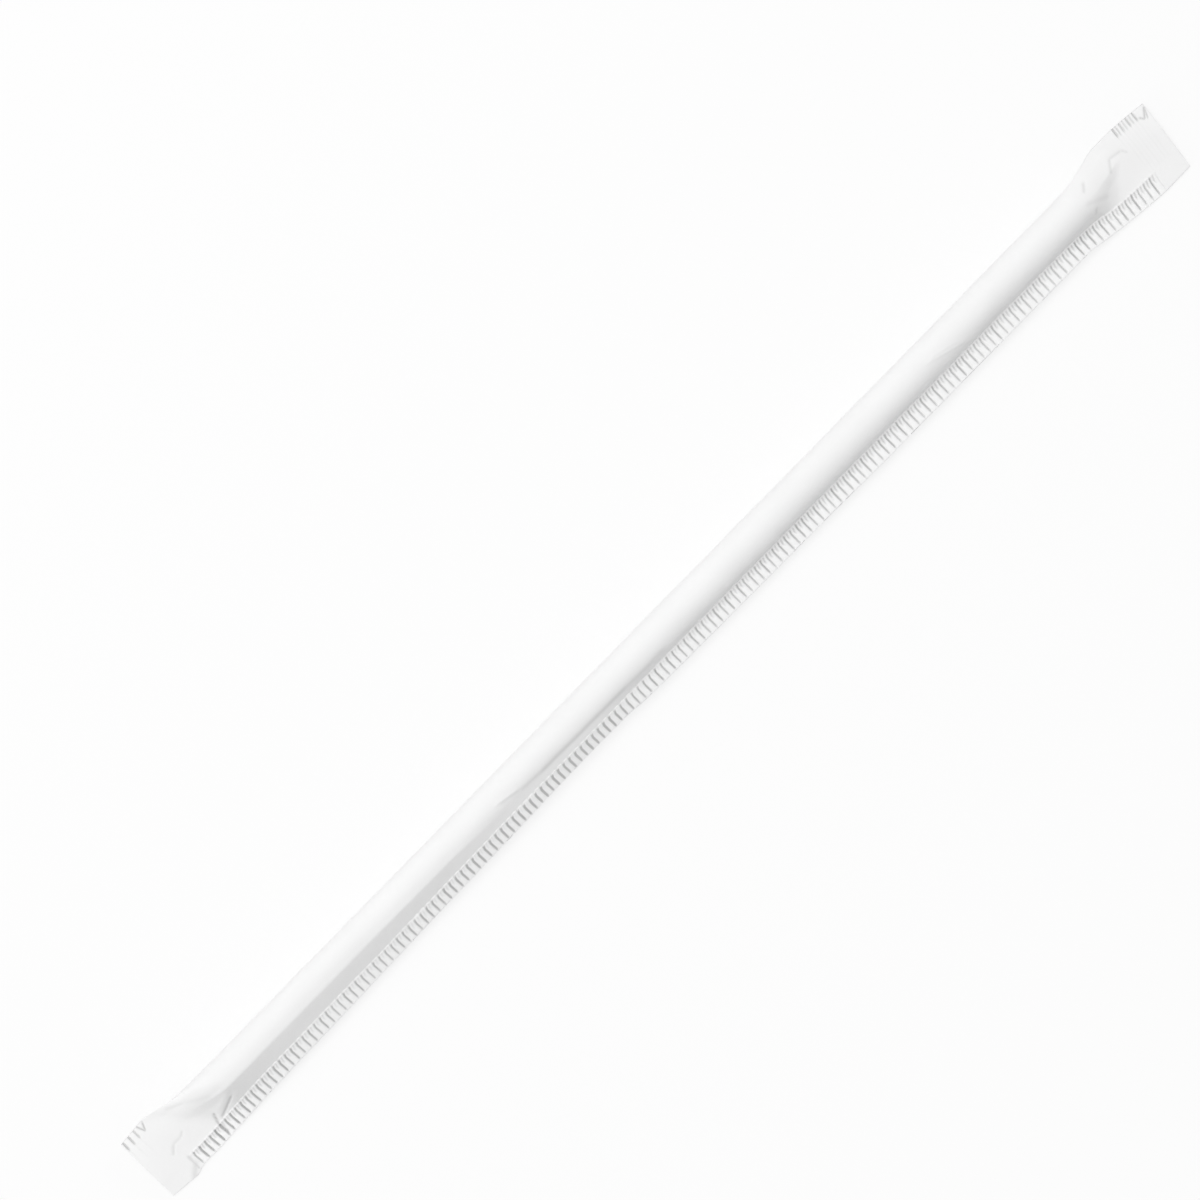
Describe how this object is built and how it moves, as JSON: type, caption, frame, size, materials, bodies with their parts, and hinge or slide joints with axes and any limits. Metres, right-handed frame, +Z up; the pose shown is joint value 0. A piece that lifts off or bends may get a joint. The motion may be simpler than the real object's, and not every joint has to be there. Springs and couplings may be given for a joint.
{
  "type": "wrapped drinking straw",
  "caption": "Drinking straw sealed in a thin white paper wrapper, with a crimped seam along one side and flat crimped ends, lying at rest.",
  "frame": {"origin": "centre of the bounding box, on the surface that the wrapped straw lies on", "axes": "+X along the straw towards its longer flat end, +Y away from the crimped seam, +Z up"},
  "size_m": [0.229, 0.0128, 0.0061],
  "materials": {
    "paper": "uncoated white, matt"
  },
  "bodies": {
    "root": {"wrapped_straw": "paper"}
  },
  "joints": []
}
